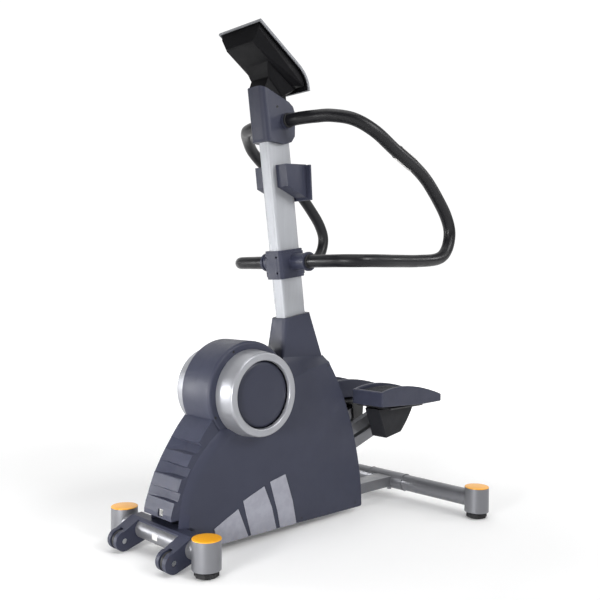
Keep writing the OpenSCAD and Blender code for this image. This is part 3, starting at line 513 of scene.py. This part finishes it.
def side_cover(side, sign):
    """A thin shell: the side face, a bevelled front edge and a shoulder that rises to the neck."""
    face = COVER_FACE / MM
    bm = bmesh.new()

    def corner(x, point):
        return bm.verts.new(spot(sign * x, point[0], point[1]))

    outer_edge = [(27, 26)] + bezier(EDGE_OUT, 28)
    inner_edge = [(2, 26)] + bezier(EDGE_IN, 28)
    inner_edge = [b if b[1] > SADDLE_TOP else a for a, b in zip(outer_edge, inner_edge)]
    outer = [corner(face, p) for p in outer_edge]
    inner = [corner(BEVEL_START, p) for p in inner_edge]
    hem = [corner(BEVEL_START, (p[0] + 14, p[1])) for p in inner_edge]
    for row, following in ((outer, inner), (inner, hem)):
        for i in range(len(row) - 1):
            bm.faces.new((row[i], row[i + 1], following[i + 1], following[i]))
    rows = []
    count = 9
    for k in range(count):
        t = 1 - k / (count - 1)
        x = SHOULDER_IN + (face - SHOULDER_IN) * t
        rows.append([corner(x, p) for p in top_line(t)])
    for row, following in zip(rows, rows[1:]):
        for i in range(len(row) - 1):
            bm.faces.new((row[i], row[i + 1], following[i + 1], following[i]))
    shares = [1 - k / (count - 1) for k in range(count)]
    foot = [corner(SHOULDER_IN + (face - SHOULDER_IN) * t, (424, 445)) for t in shares]
    for k in range(count - 1):
        bm.faces.new((rows[k][0], rows[k + 1][0], foot[k + 1], foot[k]))
    rear = [corner(face, p) for p in bezier(REAR_EDGE, 18) + [(744, 24), (738, 22)]]
    bm.faces.new(outer + rows[0] + rear)
    name = side + "_side_cover"
    cover = new_piece(name + "_shell", bm, slate_plastic, None, 28)
    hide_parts(name)
    solid = cover.modifiers.new("wall", "SOLIDIFY")
    solid.thickness = WALL * MM
    solid.offset = -1
    solid.use_even_offset = True
    bevel = cover.modifiers.new("bevel", "BEVEL")
    bevel.width = 1.8 * MM
    bevel.segments = 3
    bevel.limit_method = "ANGLE"
    bevel.angle_limit = math.radians(24)
    normals = cover.modifiers.new("normals", "WEIGHTED_NORMAL")
    normals.keep_sharp = False
    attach(cover, "machine")


# ------------------------------------------------------------------ handlebars

BAR_RADIUS = 19.9
BAR_KNOTS = (
    (52.3, 425, 1285),
    (62, 425, 1285),
    (80, 425, 1285),
    (112, 428, 1285),
    (154, 440, 1285),
    (200, 466, 1285),
    (250, 512, 1273),
    (286, 568, 1239),
    (298, 650, 1190),
    (298, 745, 1149),
    (298, 808, 1110),
    (298, 868, 1054),
    (298, 913, 1001),
    (298, 934, 948),
    (298, 918, 892),
    (298, 872, 861),
    (298, 770, 851),
    (298, 640, 848),
    (294, 560, 847),
    (275, 508, 846),
    (235, 479, 846),
    (180, 473, 846),
    (116, 473, 846),
    (80, 473, 846),
    (46.5, 473, 846),
)


def smooth_path(knots, steps):
    """A smooth curve through the knots, with the given steps in each span."""
    points = [Vector(k) for k in knots]
    points = [points[0] * 2 - points[1]] + points + [points[-1] * 2 - points[-2]]
    path = []
    for a, b, c, d in zip(points, points[1:], points[2:], points[3:]):
        for i in range(steps):
            t = i / steps
            square = (a * 2 - b * 5 + c * 4 - d) * t**2
            cube = (b * 3 - a - c * 3 + d) * t**3
            path.append((b * 2 + (c - a) * t + square + cube) / 2)
    path.append(points[-2])
    return path


def handlebar(side, sign):
    """One bent tube in a foam sleeve, from the mast head round to the clamp."""
    name = side + "_handlebar"
    low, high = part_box(name)
    reach = max(abs(low.x), abs(high.x)) / MM - BAR_RADIUS - 0.1
    path = [Vector((min(p.x, reach), p.y, p.z)) for p in smooth_path(BAR_KNOTS, 8)]
    bm = bmesh.new()
    steps = 40
    rings = []
    across = Vector((0, 0, 1))
    for i, point in enumerate(path):
        ahead = (path[min(i + 1, len(path) - 1)] - path[max(i - 1, 0)]).normalized()
        across = (across - ahead * across.dot(ahead)).normalized()
        other = ahead.cross(across)
        ring = []
        for k in range(steps):
            turn = 2 * math.pi * k / steps
            at = point + (across * math.cos(turn) + other * math.sin(turn)) * BAR_RADIUS
            ring.append(bm.verts.new(spot(sign * at.x, at.y, at.z)))
        rings.append(ring)
    for ring, following in zip(rings, rings[1:]):
        for k in range(steps):
            n = (k + 1) % steps
            bm.faces.new((ring[k], ring[n], following[n], following[k]))
    bm.faces.new(rings[0])
    bm.faces.new(rings[-1])
    tube = new_piece(name + "_sleeve", bm, foam, "machine", 50)
    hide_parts(name)


# ------------------------------------------------------------------ copies of the springs and straps


def stretching_pieces(side):
    """Smooth copies of the strap and the spring, with their placement baked into the mesh."""
    for kind, material in (("return_spring", wire_steel), ("pull_strap", webbing)):
        node = f"{side}_{kind}"
        piece = copied(node, node + "_moving", material)
        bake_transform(piece)


# ------------------------------------------------------------------ drum rings and discs


def rounded_profile(corners, radius):
    """The corner points with each inner corner cut round."""
    points = [corners[0]]
    for before, here, after in zip(corners, corners[1:], corners[2:]):
        a, b, c = Vector(before), Vector(here), Vector(after)
        cut = min(radius, (a - b).length / 2.1, (c - b).length / 2.1)
        start = b + (a - b).normalized() * cut
        end = b + (c - b).normalized() * cut
        for i in range(4):
            u = i / 3
            points.append(tuple(start * (1 - u) ** 2 + b * (2 * u * (1 - u)) + end * u * u))
    return points + [corners[-1]]


def drum_rings():
    """The turned silver rings and the dished discs inside them."""
    face = RING_FACE / MM
    inner = DRUM_FACE / MM + 0.3
    centre = Vector((0, DRUM_AXIS.y, DRUM_AXIS.z))
    ring_corners = [
        (127, inner),
        (130.4, inner),
        (124.6, face - 7),
        (122.6, face - 1.6),
        (119.6, face - 0.1),
        (104, face - 0.1),
        (101, face - 2),
        (99.2, face - 11.6),
        (102, face - 11.8),
    ]
    disc_corners = [
        (0, face - 6.8),
        (45, face - 7.6),
        (78, face - 9.2),
        (90, face - 11),
        (96, face - 13.6),
        (98, face - 16),
    ]
    rings = bmesh.new()
    discs = bmesh.new()
    for _, sign in SIDES:
        lathe(rings, rounded_profile(ring_corners, 1.6), centre, (sign, 0, 0), 120)
        lathe(discs, rounded_profile(disc_corners, 2.5), centre, (sign, 0, 0), 120)
    for name, bm, material in (("drum_rings", rings, ring_silver), ("drum_discs", discs, disc_plastic)):
        piece = new_piece(name + "_turned", bm, material, "machine")
        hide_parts(name)
        wall = piece.modifiers.new("wall", "SOLIDIFY")
        wall.thickness = 2.4 * MM
        wall.offset = -1


# ------------------------------------------------------------------ small pieces

HEAD = [(0, 0.4), (2.0, 0.4), (2.3, 1.6), (4.2, 1.9), (4.8, 1.3), (4.9, 0), (4.9, -2)]


def screw_heads(name, places, material, body="machine", scale=1.0):
    """Round screw heads with a recess: places are (point, outward direction)."""
    bm = bmesh.new()
    for centre, axis in places:
        lathe(bm, [(r * scale, a * scale) for r, a in HEAD], centre, axis, 20)
    return new_piece(name, bm, material, body)


def cover_screws():
    places = []
    for _, sign in SIDES:
        for y, z in ((579, 511), (715, 38), (465, 36)):
            places.append((spot(sign * (COVER_FACE / MM - 1.4), y, z), (sign, 0, 0)))
        for y, z in ((198, 575), (133, 389)):
            places.append((spot(sign * 67.2, y, z), (sign, 0, 0)))
        places.append((spot(sign * 40.5, 389, 1324), (sign, 0, 0)))
    screw_heads("housing_screws", places, dark_steel, scale=0.9)


def grip_collars():
    """A soft ring where each handlebar leaves the head and the clamp."""
    bm = bmesh.new()
    profile = [(20.2, 0), (22.4, 0.6), (23.0, 2.0), (23.0, 5.0), (21.6, 6.6), (20.2, 7)]
    for _, sign in SIDES:
        lathe(bm, profile, spot(sign * 52.4, 425, 1285), (sign, 0, 0), 40)
        lathe(bm, profile, spot(sign * 101.3, 473, 846), (sign, 0, 0), 40)
    new_piece("grip_collars", bm, tyre_rubber, "machine")


def console_keys():
    """Membrane keys and a generic bar graph on the console's face."""
    slope = math.radians(33.3)
    down = Vector((0, math.cos(slope), -math.sin(slope)))
    out = Vector((0, math.sin(slope), math.cos(slope)))
    top = spot(0, 271, 1555)
    wide = Vector((1, 0, 0))
    keys = bmesh.new()
    for row in range(2):
        for column in range(6):
            if row == 1 and column in (2, 3):
                continue
            place = top + down * (0.146 + row * 0.026) + wide * ((column - 2.5) * 0.027) - out * 0.0012
            rounded_slab(keys, place, wide, down, out, (19, 13, 1.2), 3.5)
    new_piece("console_keys", keys, pale_plastic, "machine")
    bars = bmesh.new()
    heights = (2, 3, 5, 4, 6, 7, 5, 6, 4, 3, 5, 6, 7, 4, 3, 2)
    for column, height in enumerate(heights):
        for level in range(height):
            place = top + down * (0.108 - level * 0.0072) + wide * ((column - 7.5) * 0.0078) - out * 0.00075
            rounded_slab(bars, place, wide, down, out, (6, 4.6, 0.4), 0.8, 2)
    new_piece("display_bars", bars, lit_segment, "machine")


def tread_ribs(side):
    """Raised ribs that run across the mat and follow its crown."""
    mat = nodes[side + "_tread_mat"]
    low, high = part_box(side + "_tread_mat")
    bm = bmesh.new()
    rows = 30
    inset = 0.004
    for i in range(rows):
        y = low.y + inset * 1.6 + (high.y - low.y - 3.2 * inset) * i / (rows - 1)
        above = Vector(((low.x + high.x) / 2, y, high.z + 0.1))
        hit, where, normal, _ = mat.ray_cast(above, Vector((0, 0, -1)))
        if not hit:
            continue
        place = where - normal * 0.0004
        along = Vector((1, 0, 0))
        across = normal.cross(along)
        length = (high.x - low.x - 2 * inset) / MM
        rounded_slab(bm, place, along, across, normal, (length, 4.2, 1.7), 1.2, 3)
    new_piece(side + "_mat_ribs", bm, tread_rubber, side + "_step")


BEAD = [(0, -1.6), (1.5, -1.0), (1.9, 0.2), (1.2, 1.3), (0, 1.7)]


def weld_beads():
    """Ripples of weld where the base tubes meet the rail and the feet."""
    bm = bmesh.new()
    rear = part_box("rear_base")
    rear_y = (rear[0].y + rear[1].y) / 2
    for sign in (-1, 1):
        for i in range(15):
            z = (46 + 28 * i / 14) * MM
            centre = Vector((sign * 0.0315, rear_y - 0.0275, z))
            lathe(bm, BEAD, centre, (sign * 0.6, -0.8, 0.2), 10)
    new_piece("rail_welds", bm, silver_paint, "machine")


def inlet_pins():
    """Three blades in the power inlet."""
    low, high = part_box("power_inlet")
    centre = (low + high) / 2
    bm = bmesh.new()
    for dx, dz in ((-0.0052, -0.002), (0.0052, -0.002), (0, 0.0032)):
        base = Vector((centre.x + dx, low.y + 0.016, centre.z + dz))
        rounded_slab(bm, base, (0, 0, 1), (1, 0, 0), (0, -1, 0), (4.2, 1.8, 12), 0.5, 2)
    new_piece("inlet_pins", bm, steel, "machine")


def blank_plate():
    """The small blank plate on the front tube."""
    bm = bmesh.new()
    axis_z = 60 * MM
    radius = 28.15
    strips = 8
    rows = []
    for i in range(strips + 1):
        turn = math.radians(-14 + 34 * i / strips)
        out = Vector((0, -math.cos(turn), math.sin(turn)))
        rows.append([
            bm.verts.new(Vector((x * MM, FRONT_AXIS, axis_z)) + out * ((radius + lift) * MM))
            for x, lift in ((-13, 0), (-12.4, 0.35), (12.4, 0.35), (13, 0))
        ])
    for row, following in zip(rows, rows[1:]):
        for k in range(3):
            bm.faces.new((row[k], row[k + 1], following[k + 1], following[k]))
    new_piece("blank_plate", bm, sensor_steel, "machine")


finish_cad_nodes()
for side_name, side_sign in SIDES:
    side_cover(side_name, side_sign)
    stretching_pieces(side_name)
    tread_ribs(side_name)
    handlebar(side_name, side_sign)
cover_screws()
drum_rings()
grip_collars()
console_keys()
weld_beads()
inlet_pins()
blank_plate()

# ------------------------------------------------------------------ floor and light


def make_floor():
    bpy.ops.mesh.primitive_plane_add(size=40, location=(0, 0, 0))
    floor = bpy.context.active_object
    floor.name = "floor"
    s = Shader("floor")
    tone = s.blend(s.spread(s.noise(2, 3), 0, 1), (0.9, 0.9, 0.9), (0.93, 0.93, 0.93))
    polish = s.spread(s.noise(8), 0.7, 0.85)
    material = s.finish(tone, polish, s.bump(s.noise(90), 0.0002, 0.1), specular=0.2)
    away = s.add("ShaderNodeVectorMath", operation="LENGTH")
    s.link(s.place, away.inputs[0])
    s.link(s.spread(away.outputs["Value"], 0.1, 0.85, 0.8, 3.6), s.surface.inputs["Emission Strength"])
    s.surface.inputs["Emission Color"].default_value = (1, 1, 1, 1)
    floor.data.materials.append(material)


def add_area(name, location, target, size, power, spread=180):
    data = bpy.data.lights.new(name, "AREA")
    data.energy = power
    data.shape = "RECTANGLE"
    data.size = size[0]
    data.size_y = size[1]
    data.spread = math.radians(spread)
    light = bpy.data.objects.new(name, data)
    light.location = location
    light.rotation_euler = (Vector(target) - Vector(location)).to_track_quat("-Z", "Y").to_euler()
    bpy.context.scene.collection.objects.link(light)


make_floor()
add_area("left_box", (-2.5, -2.7, 0.6), (0, 0, 0.25), (1.0, 1.2), 4.5, 42)
add_area("front_box", (0.9, -3.1, 0.6), (0, -0.3, 0.25), (0.9, 0.8), 9, 50)
add_area("right_box", (3.4, 0.5, 2.8), (0, 0, 1.6), (1.8, 1.6), 23, 80)
add_area("rim_box", (2.2, 2.8, 2.2), (0, 0.1, 0.7), (0.8, 0.8), 22)
add_area("top_box", (0.2, -0.3, 4.2), (0, 0, 0), (3.0, 3.0), 58)


def studio_world():
    """A white wall behind the machine and a darker room round the camera."""
    world = bpy.data.worlds.new("world")
    world.use_nodes = True
    tree = world.node_tree
    direction = tree.nodes.new("ShaderNodeTexCoord").outputs["Generated"]
    along = tree.nodes.new("ShaderNodeVectorMath")
    along.operation = "DOT_PRODUCT"
    along.inputs[1].default_value = (-math.sin(YAW), math.cos(YAW), 0.25)
    strength = tree.nodes.new("ShaderNodeMapRange")
    strength.interpolation_type = "SMOOTHSTEP"
    strength.inputs["From Min"].default_value = 0.3
    strength.inputs["From Max"].default_value = 0.9
    strength.inputs["To Min"].default_value = 0.13
    strength.inputs["To Max"].default_value = 1.05
    tree.links.new(direction, along.inputs[0])
    tree.links.new(along.outputs["Value"], strength.inputs["Value"])
    tree.links.new(strength.outputs["Result"], tree.nodes["Background"].inputs["Strength"])
    tree.nodes["Background"].inputs["Color"].default_value = (1, 1, 1, 1)
    bpy.context.scene.world = world


studio_world()


bpy.context.scene.view_settings.view_transform = "Standard"
